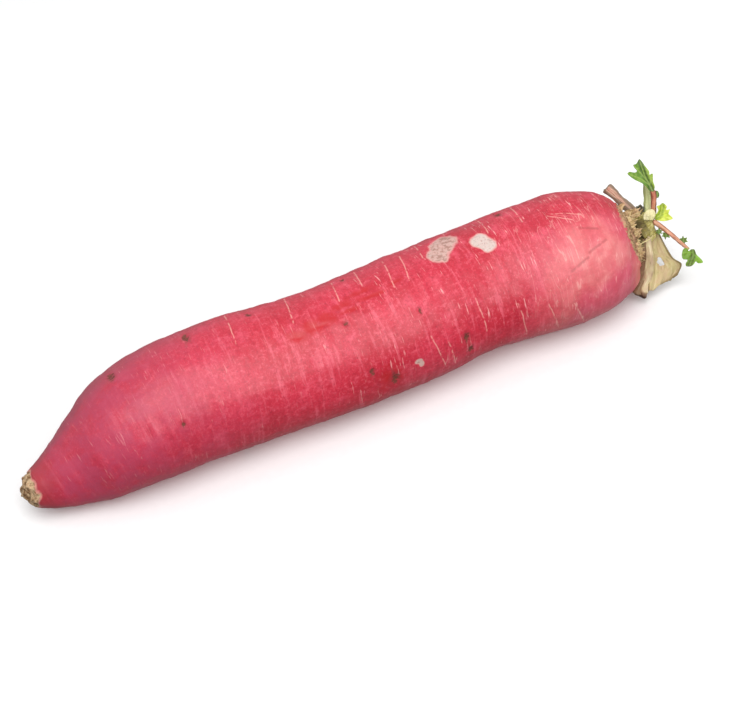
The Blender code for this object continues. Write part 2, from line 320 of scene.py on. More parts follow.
def ring_faces(rows, sides):
    """Faces over rings of points, fanned shut on the two points that follow them."""
    faces = []
    for i in range(rows - 1):
        for j in range(sides):
            k = (j + 1) % sides
            faces.append((i * sides + j, i * sides + k, (i + 1) * sides + k, (i + 1) * sides + j))
    tail = rows * sides
    last = (rows - 1) * sides
    for j in range(sides):
        k = (j + 1) % sides
        faces.append((k, j, tail))
        faces.append((last + j, last + k, tail + 1))
    return faces


ROWS, CAP_ROWS, SIDES = 316, 28, 252
line = middle_line("taproot", (1, 0, 0), 60, 6)
heart, out, length, tilt, angle, poles = wrapped(
    "taproot", line, (11, 16), ROWS, CAP_ROWS, SIDES, (0, 0, 1), soften=250)
length = blurred(length, 3.0, 3.2)
low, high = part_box("taproot")
points = heart[:, None] + out * length[:, :, None]

travel, reach, flow = straightened(points, length, tilt, angle)

# Share of the way from tail to crown, and degrees round from the top towards the front
share = (points[:, :, 0] - low.x) / (high.x - low.x)
heart_y = np.interp(points[:, :, 0], line[:, 0], line[:, 1])
heart_z = np.interp(points[:, :, 0], line[:, 0], line[:, 2])
round_by = np.degrees(np.arctan2(-(points[:, :, 1] - heart_y), points[:, :, 2] - heart_z))
ROOT_LONG = (high.x - low.x) / MM
run = share * ROOT_LONG


def patch(where, size):
    """1 in the middle of an oval on the skin, 0 on its edge and below 0 beyond it; sizes in mm."""
    across = (round_by - where[1] + 180) % 360 - 180
    across = np.radians(across) * reach
    return 1 - np.sqrt(((run - where[0] * ROOT_LONG) / size[0]) ** 2 + (across / size[1]) ** 2)


def lines(rows):
    """Signed distance in mm from the nearest of several straight marks, and 0 to 1 near it."""
    best = np.full(run.shape, 1e9)
    signed = np.full(run.shape, 9.0)
    near = np.zeros(run.shape)
    girth = ((0, 40, 300, ROOT_LONG), (12, 31, 33, 22))  # mm from the tail, and the root's radius there
    for (a_share, a_round), (b_share, b_round) in rows:
        a_run, b_run = a_share * ROOT_LONG, b_share * ROOT_LONG
        radius = np.interp((a_run + b_run) / 2, *girth)
        a_arc, b_arc = math.radians(a_round) * radius, math.radians(b_round) * radius
        here = np.radians(round_by) * radius
        long = math.hypot(b_run - a_run, b_arc - a_arc)
        ux, uy = (b_run - a_run) / long, (b_arc - a_arc) / long
        t = (run - a_run) * ux + (here - a_arc) * uy
        d = (here - a_arc) * ux - (run - a_run) * uy
        over = np.maximum(np.maximum(-t, t - long), 0)
        far = np.hypot(d, over)
        closer = far < best
        best = np.where(closer, far, best)
        signed = np.where(closer, d, signed)
        near = np.where(closer, ramp(over, 1.5, 0) * ramp(np.abs(d), 3.0, 2.2), near)
    return signed, near


# Spots are given as (share of the length from the tail, degrees round) and a size in mm, marks by
# their two ends.
RUBBED = (
    ((0.678, 5), (6.0, 7.2)), ((0.701, -8), (6.4, 7.2)), ((0.69, -2), (7.4, 7.0)), ((0.746, 9), (5.2, 5.0)),
    ((0.753, 16), (4.2, 5.4)), ((0.59, 92), (2.3, 1.5)), ((0.594, 96), (1.5, 2.0)),
)
PITS = (
    ((0.169, -9), 2.6), ((0.289, -8), 2.4), ((0.386, -11), 1.6), ((0.535, -15), 1.4), ((0.504, 36), 1.2),
    ((0.518, 85), 1.8), ((0.551, 102), 2.8), ((0.671, 90), 2.4), ((0.676, 104), 1.8), ((0.612, 50), 1.1),
    ((0.797, -19), 2.0), ((0.235, 70), 1.3), ((0.325, 150), 2.2), ((0.43, 205), 2.0), ((0.56, 190), 2.6),
    ((0.69, 215), 2.0), ((0.78, 175), 1.8), ((0.3, 255), 2.2), ((0.455, 262), 1.5), ((0.62, 275), 2.4),
    ((0.84, 250), 1.6), ((0.16, 200), 1.8),
)
STAINS = (
    ((0.434, 33), (4.6, 3.8)), ((0.458, 28), (6.0, 4.4)), ((0.482, 25), (5.0, 4.2)),
    ((0.512, 18), (9.0, 2.6)), ((0.545, 12), (9.0, 2.0)), ((0.545, 98), (7.0, 7.0)),
    ((0.43, 33), (4.0, 1.7)), ((0.47, 30), (6.0, 1.5)), ((0.515, 25.5), (7.0, 1.4)),
    ((0.56, 20.5), (7.0, 1.3)), ((0.595, 17), (5.0, 1.1)),
)
PALE_MARKS = (
    ((0.358, -26), (0.348, 20)), ((0.448, -24), (0.436, 18)), ((0.603, -18), (0.593, 21)),
    ((0.629, -14), (0.618, 21)), ((0.616, 73), (0.632, 109)), ((0.64, 83), (0.65, 114)),
    ((0.854, 11), (0.887, 26)), ((0.862, 10), (0.896, 19)), ((0.7, 60), (0.706, 92)),
    ((0.76, 78), (0.772, 118)), ((0.806, 88), (0.824, 124)), ((0.845, 96), (0.866, 128)),
    ((0.664, -30), (0.656, 2)), ((0.716, -38), (0.708, -8)), ((0.772, -36), (0.764, 4)),
    ((0.826, -38), (0.816, 6)), ((0.52, -20), (0.512, 12)), ((0.56, -26), (0.553, 6)),
    ((0.56, 160), (0.556, 230)), ((0.7, 170), (0.712, 225)), ((0.42, 210), (0.414, 270)),
    ((0.84, 200), (0.846, 260)),
)
DARK_MARKS = (
    ((0.886, 33), (0.912, 38)), ((0.885, 56), (0.918, 50)), ((0.85, 66), (0.88, 60)),
    ((0.669, 85), (0.675, 106)), ((0.289, -8), (0.283, 4)), ((0.551, 102), (0.547, 88)),
)

# Relief of the skin in mm: broad lumps, growth rings, then each pit, stain, rubbed patch and mark
lump = 0.32 * ripples(flow, 60, 1) + 0.16 * ripples(flow, 26, 2)
ringed = flow * np.array((1.0, 0.13, 0.13))
rings = 0.10 * ripples(ringed, 11, 3) + 0.045 * ripples(ringed, 3.4, 4, 30)
rise_mm = (lump + rings) * np.clip(reach / 14.0, 0.2, 1)
rise_mm += 0.05 * ripples(flow, 6.5, 5, 26)
pit = np.full(run.shape, -9.0)
for spot, size in PITS:
    here = patch(spot, (size * 0.9, size * 1.7))
    pit = np.maximum(pit, here)
    rise_mm -= 0.75 * bell(1 - here, 0.62) * min(size / 2.2, 1.1)
    rise_mm += 0.16 * bell(here + 0.35, 0.4)
stain = np.full(run.shape, -9.0)
for spot, size in STAINS:
    here = patch(spot, size)
    stain = np.maximum(stain, here)
    rise_mm -= 0.34 * bell(1 - here, 0.7)
rub = np.full(run.shape, -9.0)
for spot, size in RUBBED:
    here = patch(spot, size)
    rub = np.maximum(rub, here)
    rise_mm -= 0.22 * np.clip(here * 4 + 0.5, 0, 1)
pale, pale_on = lines(PALE_MARKS)
rise_mm -= 0.20 * bell(pale, 0.8) * pale_on
dark, dark_on = lines(DARK_MARKS)
rise_mm -= 0.22 * bell(dark, 0.7) * dark_on

# Scab: the snapped end and a tongue of cork that runs up the top of the tail
scab = 1 - travel[:, None] / 12.0 + 0.26 * np.cos(np.radians(round_by - 10)) + 0.10 * ripples(flow, 9, 6)
scab_on = np.clip(scab * 3 + 0.3, 0, 1)
rise_mm += scab_on * (0.42 * ripples(flow, 4.2, 7, 30) + 0.18 * ripples(flow, 1.9, 8, 30) - 0.25)

# Shoulder: shallow folds that run up to the crown
bearing = np.radians(round_by)
folds = np.cos(9 * bearing + 2.2 * np.cos(2 * bearing))
rise_mm += 0.35 * folds * ramp(share, 0.93, 0.98) * ramp(reach, 0, 20)

# Collar: tan dead tissue of the oldest leaf bases, left clinging to the end of the root. Its torn
# edge is given as sideways distance for each height over the crown's foot, in mm, in the plane
# that the shoots fan out in: its sideways, its upward and its facing direction.
FAN_SIDE = np.array((0.906, -0.401, -0.137))
FAN_RISE = np.array((0.350, 0.525, 0.776))
FAN_FACE = np.array((-0.240, -0.751, 0.616))
TORN_EDGE = (
    (-16, 9.0), (-10, 4.6), (-6.4, 2.2), (-2, -0.9), (4, -3.7), (9.6, -6.0), (17.6, -7.2), (24, -4.5))
HUB_UP = 13.8  # mm from the crown's lowest point up to the middle of its foot
crown_low = np.array(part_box("crown")[0]) / MM
hub = np.array((crown_low[0], middle_of("crown")[1], crown_low[2] + HUB_UP))
over = points / MM - hub
torn = over @ FAN_SIDE - np.interp(over @ FAN_RISE, *zip(*TORN_EDGE))
torn = np.where(share > 0.9, torn, -9.0)
torn = torn + 0.5 * ripples(flow * np.array((0.4, 1, 1)), 2.2, 9, 30)
rise_mm += np.clip(torn * 1.5, 0, 1) * (0.35 + 0.35 * ripples(flow * np.array((0.25, 1, 1)), 1.6, 10, 30))

points = points + out * (rise_mm * MM)[:, :, None]
points[:, :, 2] = np.maximum(points[:, :, 2], 0.0)
co = np.concatenate((points.reshape(-1, 3), poles))


def with_ends(values):
    """Values for the two end points added after those of the rings."""
    flat = values.reshape(-1, values.shape[2]) if values.ndim == 3 else values.ravel()
    return np.concatenate((flat, [values[0].mean(0)], [values[-1].mean(0)]))


# round is highest on top and lowest on the underside, which the skin's look darkens as painted shade
fields = {
    "flow": flow, "share": share, "pit": pit, "stain": stain, "rub": rub,
    "round": np.cos(np.radians(round_by - 15)), "front": np.cos(np.radians(round_by - 90)),
    "pale": pale, "pale_on": pale_on, "dark": dark, "dark_on": dark_on, "scab": scab, "torn": torn,
}
fields = {key: with_ends(value) for key, value in fields.items()}

skin, tree, shader = new_look("radish_skin")


def field(tree, name):
    """A piece's own numbers by name, as a pattern."""
    return feed(tree, "Attribute", attribute_name=name).outputs["Fac"]


def grain(tree, name, scale):
    """A piece's own coordinates, stretched."""
    where = feed(tree, "Attribute", attribute_name=name).outputs["Vector"]
    return feed(tree, "Mapping", {"Vector": where, "Scale": scale}).outputs[0]


def step(value, start, end):
    """0 before start, 1 after end and a smooth rise between them; start may be above end."""
    values = {"Value": value, "From Min": start, "From Max": end}
    return feed(value.id_data, "MapRange", values, interpolation_type="SMOOTHSTEP").outputs[0]


def sums(kind, a, b=0.0):
    """Arithmetic on two patterns, or on a pattern and a number."""
    tree = next(value.id_data for value in (a, b) if isinstance(value, bpy.types.NodeSocket))
    return feed(tree, "Math", {0: a, 1: b}, operation=kind).outputs[0]


def times(a, *others):
    for b in others:
        a = sums("MULTIPLY", a, b)
    return a


def plus(a, *others):
    for b in others:
        a = sums("ADD", a, b)
    return a


def either(a, *others):
    for b in others:
        a = sums("MAXIMUM", a, b)
    return a


def spread(pattern, strength):
    """A 0 to 1 pattern centred on 0 and scaled, to make an edge uneven with."""
    return times(sums("SUBTRACT", pattern, 0.5), strength)


def layers(colour, rows):
    """Colour with each row's own colour laid over it: pattern, where it starts, where full, strength."""
    for pattern, start, end, strength, over in rows:
        colour = tint(times(step(pattern, start, end), strength), colour, over)
    return colour


where = grain(tree, "flow", (1, 1, 1))
across = grain(tree, "flow", (1, 0.10, 0.10))
slanted, slanted_too = (
    feed(tree, "Mapping", {"Vector": where, "Rotation": lean, "Scale": scale}).outputs[0]
    for lean, scale in (((0.0, 0.0, 0.5), (1, 0.12, 0.12)), ((0.0, 0.45, -0.6), (1, 0.1, 0.1))))
cloud = noise(where, 34, detail=2.0)
blotch = noise(where, 9, detail=4.0, rough=0.6)
speck = noise(where, 1.1, detail=4.0, rough=0.75)
fleck = noise(where, 2.3, detail=3.0, rough=0.7)
band = noise(across, 3.0, detail=4.0, rough=0.65)
hair = noise(across, 0.9, detail=2.0, rough=0.6)
lengthwise, facing = field(tree, "share"), field(tree, "front")

# Crimson ground, clouded, banded and speckled
colour = layers(tint(step(cloud, 0.35, 0.68), (188, 26, 49), (205, 43, 68)), (
    (blotch, 0.52, 0.74, 0.40, (234, 92, 116)),
    (blotch, 0.47, 0.28, 0.40, (192, 26, 54)),
    (band, 0.53, 0.70, 0.45, (236, 108, 126)),
    (band, 0.46, 0.30, 0.45, (172, 20, 46)),
    (speck, 0.54, 0.70, 0.36, (236, 112, 126)),
    (speck, 0.46, 0.30, 0.70, (150, 20, 44)),
    (fleck, 0.52, 0.68, 0.32, (238, 104, 122)),
    (fleck, 0.48, 0.32, 0.42, (166, 20, 42)),
))

# Smoky towards the tail, a pale film on the flank near the crown, redder in stains; painted shade beneath
tailward = step(lengthwise, 0.42, 0.10)
smoky = times(tailward, plus(times(step(blotch, 0.35, 0.60), 0.45), 0.45))
colour = tint(smoky, colour, (176, 54, 84))
colour = tint(times(tailward, step(facing, 0.10, -0.35), 0.4), colour, (140, 66, 82))
film = plus(times(step(blotch, 0.36, 0.62), 0.40), 0.60)
film = times(step(lengthwise, 0.74, 0.92), film, step(facing, 0.15, 0.85), 0.90)
colour = tint(film, colour, tint(step(cloud, 0.40, 0.60), (224, 104, 124), (226, 136, 134)))
colour = layers(colour, (
    (lengthwise, 0.945, 0.985, 0.5, (214, 50, 66)),
    # Painted shade: the underside is painted a deeper, darker crimson
    (field(tree, "round"), -0.35, -0.90, 0.6, (186, 16, 38)),
    (plus(field(tree, "stain"), spread(noise(where, 5.0), 2.4)), -0.25, 0.75, 0.80, (186, 8, 22)),
))

# Fine pale growth marks across the root
hairs = times(step(hair, 0.63, 0.70), step(noise(where, 14, detail=2.0), 0.42, 0.60))
hairs = times(hairs, plus(times(step(lengthwise, 0.35, 0.70), 0.55), 0.25))
colour = tint(hairs, colour, (246, 170, 168))


def thread(where, size, thin, mask):
    """Thin broken lines: the contours of a stretched cloud pattern, kept where another is strong."""
    ridge = sums("ABSOLUTE", spread(noise(where, size, detail=1.0), 1.0))
    return times(step(ridge, thin, thin * 0.3), mask)


# Crossed scratches near the crown, then the single pale and dark marks
scratched = times(step(lengthwise, 0.70, 0.90), step(blotch, 0.44, 0.58))
scratch = either(thread(slanted, 3.6, 0.012, scratched), thread(slanted_too, 4.4, 0.010, scratched))
colour = tint(times(scratch, 0.40), colour, (244, 186, 176))
wander = spread(noise(where, 7, detail=2.0), 1.1)
gaps = noise(where, 3.0)
for mark, width, gap, strength, over in (
    ("pale", (0.48, 0.12), (0.36, 0.52), 0.55, (240, 172, 160)),
    ("dark", (1.05, 0.15), (0.28, 0.44), 0.42, (146, 58, 58)),
):
    drawn = step(sums("ABSOLUTE", plus(field(tree, mark), wander)), *width)
    drawn = times(drawn, step(field(tree, mark + "_on"), 0.3, 0.9), step(gaps, *gap), strength)
    colour = tint(drawn, colour, over)

# Rubbed patches, the one nearer the crown whiter, and brown pits with a red halo
rubbed = plus(field(tree, "rub"), spread(noise(where, 6.0, detail=2.0), 0.7))
worn = times(step(rubbed, -0.10, 0.12), 0.93)
grey = tint(step(fleck, 0.38, 0.56), (166, 130, 118), (206, 172, 162))
white = tint(step(speck, 0.34, 0.50), (178, 152, 144), (210, 194, 186))
grey = tint(step(lengthwise, 0.720, 0.728), grey, white)
colour = tint(worn, colour, tint(step(rubbed, 0.08, 0.26), (216, 158, 152), grey))
fret = spread(noise(where, 1.8, detail=3.0, rough=0.6), 2.6)
hollow = plus(field(tree, "pit"), fret, -0.12)
sore = step(hollow, 0.05, 0.50)
colour = tint(times(step(hollow, -0.9, 0.3), 0.5), colour, (158, 38, 52))
colour = tint(times(sore, 0.85), colour, tint(speck, (70, 26, 22), (126, 74, 48)))

# Corky scab on the tail, with a bruised edge
cork_edge = plus(field(tree, "scab"), spread(noise(where, 4.5, detail=4.0, rough=0.65), 0.33))
colour = layers(colour, (
    (cork_edge, -1.3, -0.2, 0.60, (158, 40, 42)), (cork_edge, -0.10, 0.02, 0.75, (214, 146, 134))))
cork = step(cork_edge, 0.02, 0.12)
crumb = noise(where, 3.2, detail=5.0, rough=0.7)
cork_colour = tint(step(crumb, 0.38, 0.60), (118, 82, 44), (196, 166, 130))
colour = tint(cork, colour, tint(step(speck, 0.40, 0.30), cork_colour, (104, 72, 30)))

# Collar of dead tissue round the crown, darkest against it
fibrous = noise(grain(tree, "flow", (0.22, 1, 1)), 1.3, detail=4.0, rough=0.65)
collar = step(plus(field(tree, "torn"), spread(fibrous, 5.0)), -0.2, 0.5)
husky = layers(tint(step(fibrous, 0.38, 0.62), (112, 76, 36), (200, 164, 122)), (
    (blotch, 0.50, 0.62, 1.0, (196, 148, 118)), (field(tree, "torn"), 2.5, 5.5, 0.6, (86, 58, 26))))
colour = tint(collar, colour, husky)

dull = either(worn, cork, collar, sore)
rough = plus(between(blotch, 0.36, 0.50, 0.3, 0.7), times(dull, 0.35))
for key, value in (
    ("Coat Weight", 0.12), ("Coat Roughness", 0.28), ("Subsurface Weight", 0.08),
    ("Subsurface Radius", (0.004, 0.0012, 0.0012)), ("Subsurface Scale", 1.0),
):
    shader.inputs[key].default_value = value
relief = plus(
    times(band, 0.7), times(speck, 0.35), times(hairs, 0.3), times(cork, crumb, 3.0), times(sore, -0.8))
dress(shader, colour, rough, relief, 0.55, 0.0004)

place("root_skin", co, ring_faces(len(heart), SIDES), skin, "skin", ("taproot",), fields)

# ---------------------------------------------------------------- Crown
# The short woody stem the leaves grew from: olive, fibrous and lumpy, ringed with old leaf scars
# and hollow where the middle leaves have rotted away, the hollow painted dark as shade. It grows
# out of the root's end.


def wrapped_piece(
    name, node, way, insets, grid, shape, mat, slot, sink, slab=2.2, marks=None, nudge=(0.0, 0.0), bury=0.0
):
    """Detailed skin over one CAD node: grid is its rows, end rows and sides, shape gives its relief
    in mm, sink and bury push its foot into the crown, and nudge moves it along the fan of shoots, to
    close it on its neighbours."""
    line = middle_line(node, way, 24, slab)
    heart, out, length, tilt, angle, _ = wrapped(node, line, insets, *grid, FAN_FACE)
    length = blurred(length, 1.3, 1.3)
    points = heart[:, None] + out * length[:, :, None]
    travel, _, flow = straightened(points, length, tilt, angle)
    t = np.repeat((travel / travel[-1])[:, None], grid[2], 1)
    turn = np.repeat(angle[None], len(heart), 0)
    points = points + out * (shape(t, turn, flow) * MM)[:, :, None]
    foot = unit(line[1] - line[0])
    points = points - foot * (sink * MM * ramp(t, 0.3, 0))[:, :, None]
    points = points - FAN_FACE * (bury * MM * ramp(t, 0.25, 0))[:, :, None]
    points = points + (FAN_SIDE * nudge[0] + FAN_RISE * nudge[1]) * MM
    extra = {"flow": with_ends(flow), "along": with_ends(t)}
    for key, rule in (marks or {}).items():
        extra[key] = with_ends(rule(t, turn, flow))
    co = with_ends(points)
    return place(name, co, ring_faces(len(heart), grid[2]), mat, slot, (node,), extra)


def off_front(turn):
    """Angle round a piece counted both ways from its front."""
    return (turn + math.pi) % (2 * math.pi) - math.pi


def crown_hollow(t, turn, flow):
    """1 in the middle of the rotted hollow, 0 on its edge and below 0 beyond it."""
    return 1 - np.sqrt(((t - 0.52) / 0.24) ** 2 + off_front(turn + 0.35) ** 2 / 0.9)


def crown_shape(t, turn, flow):
    """Relief of the crown: ribs, leaf scars round it, fine fibres and the sunk hollow."""
    ribs = 0.35 * np.cos(11 * turn + 3 * t) + 0.22 * np.cos(23 * turn - 5 * t + 1)
    scars = 0.45 * np.cos(t * 26 + 1.5 * np.cos(2 * turn))
    fine = 0.20 * ripples(flow * np.array((0.25, 1, 1)), 1.5, 21, 30)
    pith = 1.3 * bell(1 - crown_hollow(t, turn, flow), 0.6)
    return (ribs + scars - pith + 0.45 * ripples(flow, 6, 20) + fine) * np.clip(t * 6, 0, 1)


woody, tree, shader = new_look("crown_tissue")
where = grain(tree, "flow", (1, 1, 1))
threads = noise(grain(tree, "flow", (0.22, 1, 1)), 0.9, detail=4.0, rough=0.7)
mottle = noise(where, 3.5, detail=4.0, rough=0.65)
crumb = noise(where, 0.7, detail=3.0, rough=0.7)
colour = layers(tint(step(mottle, 0.34, 0.62), (150, 136, 62), (192, 182, 112)), (
    (threads, 0.52, 0.64, 0.85, (214, 202, 146)),
    (threads, 0.42, 0.30, 0.70, (84, 66, 26)),
    (field(tree, "along"), 0.42, 0.12, 0.55, (186, 158, 104)),
    # Painted shade: dark olive brown over the sunk hollow
    (plus(field(tree, "hollow"), spread(mottle, 1.6)), -0.45, 0.35, 0.92, (66, 48, 12)),
))
dress(shader, colour, step(threads, -0.9, 1.0), plus(threads, times(crumb, 0.5)), 0.9, 0.0006)

wrapped_piece(
    "crown_knob", "crown", (0.93, 0.02, 0.37), (5.0, 3.0), (84, 26, 132), crown_shape, woody, "crown_tissue",
    sink=1.5, slab=3.0, marks={"hollow": crown_hollow})

# ---------------------------------------------------------------- Stalk stubs
# Leaf stalks cut off when the tops were trimmed, dried since: flattened, ribbed lengthwise and
# shrivelled, each joined to the crown at its foot. Two still stand up and one hangs down in front.


def stalk_look(name, main, light, dark, tip, blush, rough=0.6):
    """Dried or fresh stalk: main colour, light ribs, dark creases, its cut end, and a flush of colour."""
    mat, tree, shader = new_look(name)
    ribs = noise(grain(tree, "flow", (0.14, 1, 1)), 1.1, detail=4.0, rough=0.62)
    mottle = noise(grain(tree, "flow", (0.5, 1, 1)), 3.2, detail=4.0, rough=0.6)
    crumb = noise(grain(tree, "flow", (1, 1, 1)), 0.55, detail=3.0, rough=0.7)
    colour = layers(tint(step(mottle, 0.36, 0.66), main, blush), (
        (ribs, 0.52, 0.70, 0.75, light),
        (ribs, 0.45, 0.28, 0.75, dark),
        (plus(field(tree, "shade"), spread(mottle, 0.9)), 0.25, 0.85, 0.85, dark),
        (plus(field(tree, "along"), spread(mottle, 0.12)), 0.90, 0.975, 1.0, tip),
        (crumb, 0.62, 0.74, 0.35, light),
    ))
    gloss = between(ribs, rough - 0.12, rough + 0.12)
    dress(shader, colour, gloss, plus(ribs, times(crumb, 0.3)), 0.8, 0.0004)
    return mat


def ribbed(seed, ribs, depth, groove=0.0, shrivel=0.25, swell=0.0):
    """Relief of a dried stalk: lengthwise ribs, a groove down its face, and shrivelled dents."""
    def shape(t, turn, flow):
        drift = 0.5 * np.sin(5 * t + seed)
        relief = swell + depth * np.cos(ribs * turn + drift * 3)
        relief += 0.5 * depth * np.cos((2 * ribs + 1) * turn - drift * 5)
        relief -= groove * bell(off_front(turn), 0.55)
        relief += shrivel * ripples(flow * np.array((0.5, 1, 1)), 4.0, seed)
        return relief + 0.08 * ripples(flow * np.array((0.3, 1, 1)), 1.0, seed + 50, 26)
    return shape


def edge_shade(t, turn, flow):
    """Dark along both edges of a flat stalk."""
    return 1.15 * np.abs(np.sin(turn)) ** 2.2


def upper_shade(t, turn, flow):
    """Dark edges, and olive brown towards the foot."""
    return edge_shade(t, turn, flow) + 0.62 * ramp(t, 0.55, 0.20)


salmon = stalk_look(
    "upper_stalk", (198, 162, 138), (222, 190, 168), (112, 98, 78), (122, 106, 84), (204, 148, 130))
wrapped_piece(
    "upper_stub_dried", "upper_stub", (-0.45, 0.45, 0.78), (2.4, 2.2), (70, 12, 60),
    ribbed(31, 5, 0.16, 0.34, 0.16, -0.15), salmon, "dry_stalk",
    sink=3.2, marks={"shade": upper_shade}, nudge=(-0.7, 0.2))


def curve(a, b, c, d, f):
    """Point at f, 0 to 1, on the smooth curve from b to c that comes from a and goes on to d."""
    whole = 2 * b + (c - a) * f + (2 * a - 5 * b + 4 * c - d) * f ** 2
    return 0.5 * (whole + (3 * b - a - 3 * c + d) * f ** 3)


def smooth_way(rows, t):
    """Point at t, 0 to 1, on the smooth curve through rows of numbers."""
    rows = np.array(rows, dtype=float)
    t = np.atleast_1d(t) * (len(rows) - 1)
    i = np.clip(t.astype(int), 0, len(rows) - 2)
    f = (t - i)[:, None]
    return curve(rows[np.maximum(i - 1, 0)], rows[i], rows[i + 1], rows[np.minimum(i + 2, len(rows) - 1)], f)


# Short stub: its rim from the foot up the outside, over and down inside, as radius and height in mm
RIM = ((2.2, -5.0), (2.1, -2.0), (2.2, 0.9), (1.95, 1.3), (1.6, 0.9), (1.4, -0.6), (0.8, -1.3))
RIM_ROWS, RIM_SIDES = 44, 48
ashen = stalk_look(
    "short_stalk", (108, 110, 98), (168, 170, 158), (48, 44, 38), (70, 78, 84), (112, 100, 66))
top = middle_of("short_stub") - FAN_RISE * 2.4
lean = unit(FAN_RISE * 0.80 + FAN_FACE * 0.55 - FAN_SIDE * 0.10)
flat_way = unit(FAN_SIDE - lean * (FAN_SIDE @ lean))
deep_way = np.cross(lean, flat_way)
deep = np.linspace(0, 1, RIM_ROWS)
radius, height = smooth_way(RIM, deep).T[:, :, None]
turn = np.linspace(0, 2 * math.pi, RIM_SIDES, endpoint=False)
wall = radius * (1 + 0.05 * np.cos(5 * turn) + 0.05 * np.cos(3 * turn + 1))
rise_by = height + 0.35 * np.clip(height, 0, 1) * np.cos(4 * turn + 1)
flow = stacked(rise_by, wall * np.cos(turn), wall * np.sin(turn))
points = (top + flow @ np.stack((lean, flat_way, 0.85 * deep_way))) * MM
dim = np.repeat(np.clip(deep * 2 - 0.9, 0, 1)[:, None], RIM_SIDES, 1)
place(
    "short_stub_hollow", with_ends(points), ring_faces(RIM_ROWS, RIM_SIDES), ashen, "dry_stalk",
    ("short_stub",), {"flow": with_ends(flow), "along": with_ends(0 * dim), "shade": with_ends(dim)})

tan = stalk_look(
    "front_stalk", (206, 190, 146), (228, 216, 180), (112, 74, 44), (70, 40, 26), (200, 170, 140))


def front_shade(t, turn, flow):
    """Brown down the inner edge, near the foot and again at the lower end."""
    inner = np.clip(np.sin(turn) * 1.1 + 0.15, 0, 1)
    inner = inner * (0.70 + 1.1 * bell(t - 0.05, 0.22) + 1.3 * ramp(t, 0.68, 0.88))
    return inner + 0.9 * ramp(t, 0.84, 0.92)


wrapped_piece(
    "front_stub_dried", "front_stub", (-0.25, -0.20, -0.95), (2.0, 1.8), (110, 12, 72),
    ribbed(35, 4, 0.24, 0.45, 0.16), tan, "dry_stalk",
    sink=3.0, slab=2.4, marks={"shade": front_shade}, nudge=(-1.6, 0.0), bury=4.5)

# ---------------------------------------------------------------- Pale stalk
# A fresher leaf stalk, cut long ago lower down and grown on since: pale green, ribbed and juicy.

pale_green = stalk_look(
    "pale_stalk", (212, 214, 152), (232, 232, 188), (150, 156, 90), (196, 194, 146), (206, 216, 152), 0.45)
wrapped_piece(
    "pale_stub_fresh", "pale_stub", (0.35, 0.60, 0.72), (1.8, 1.6), (56, 10, 48),
    ribbed(37, 5, 0.12, 0.2, 0.10), pale_green, "green_stalk",
    sink=4.0, slab=1.6, marks={"shade": edge_shade})

# ---------------------------------------------------------------- Shoot stalks
# Stalks of the new leaves that sprouted in store: thin, juicy, and flushed red-brown. One stands
# behind the crown's middle and one hangs out sideways; both grow out of the crown.

ruddy = stalk_look(
    "sprout_stalk_skin", (198, 132, 96), (222, 172, 132), (134, 66, 44), (150, 124, 60), (182, 100, 74), 0.42)
wrapped_piece(
    "sprout_stalk_red", "sprout_stalk", (0.25, 0.42, 0.87), (1.3, 1.0), (60, 10, 40),
    ribbed(41, 4, 0.10, 0.25, 0.12), ruddy, "red_stalk", sink=3.5, slab=1.5, marks={"shade": edge_shade})
rosy = stalk_look(
    "side_stalk_skin", (212, 158, 126), (232, 192, 160), (156, 98, 72), (156, 156, 78), (204, 134, 106), 0.42)
wrapped_piece(
    "side_stalk_pink", "side_stalk", (0.45, -0.66, -0.60), (1.2, 0.7), (110, 8, 36),
    ribbed(43, 4, 0.08, 0.2, 0.10), rosy, "red_stalk", sink=3.5, slab=1.3, marks={"shade": edge_shade})

# ---------------------------------------------------------------- Leaves
# Small lobed leaves of the new shoots: soft, thin and hairy-edged, folded along the midrib and
# crumpled between their veins. They grow on the ends and sides of the shoot stalks.


def leaf_look(name, main, light, dark, rough=0.48):
    """Fresh leaf: green, light veins and patches, one half painted lit, painted shade in its fold."""
    mat, tree, shader = new_look(name)
    where = grain(tree, "spot", (1, 1, 1))
    mottle = noise(where, 3.0, detail=4.0, rough=0.6)
    cells = noise(where, 0.5, detail=3.0, rough=0.65)
    # Painted light: the half of the leaf on one side of the midrib is lighter, as if lit
    lit = plus(times(field(tree, "half"), 0.6), times(step(mottle, 0.38, 0.64), 0.35))
    # Painted shade: darker green in the fold along the midrib
    fold = step(plus(field(tree, "fold"), spread(mottle, 0.8)), 0.20, 0.85)
    colour = tint(times(fold, 0.9), tint(lit, main, light), dark)
    colour = tint(times(field(tree, "vein"), 0.55), colour, light)
    colour = layers(colour, ((cells, 0.56, 0.72, 0.25, light), (cells, 0.42, 0.28, 0.25, dark)))
    shader.inputs["Subsurface Weight"].default_value = 0.15
    shader.inputs["Subsurface Radius"].default_value = (0.0006, 0.001, 0.0002)
    dress(shader, colour, between(mottle, rough - 0.1, rough + 0.1), cells, 0.5, 0.0002)
    return mat


def rounded(outline, steps=5):
    """Smooth closed outline through its corner points."""
    f = np.linspace(0, 1, steps, endpoint=False)[:, None]
    corners = [np.roll(outline, -k, axis=0)[:, None] for k in (-1, 0, 1, 2)]
    return curve(*corners, f).reshape(-1, 2)


def settle(co, node):
    """Points moved so that the middle of their box is the middle of a CAD node's."""
    return co + middle_of(node) * MM - (co.min(0) + co.max(0)) / 2


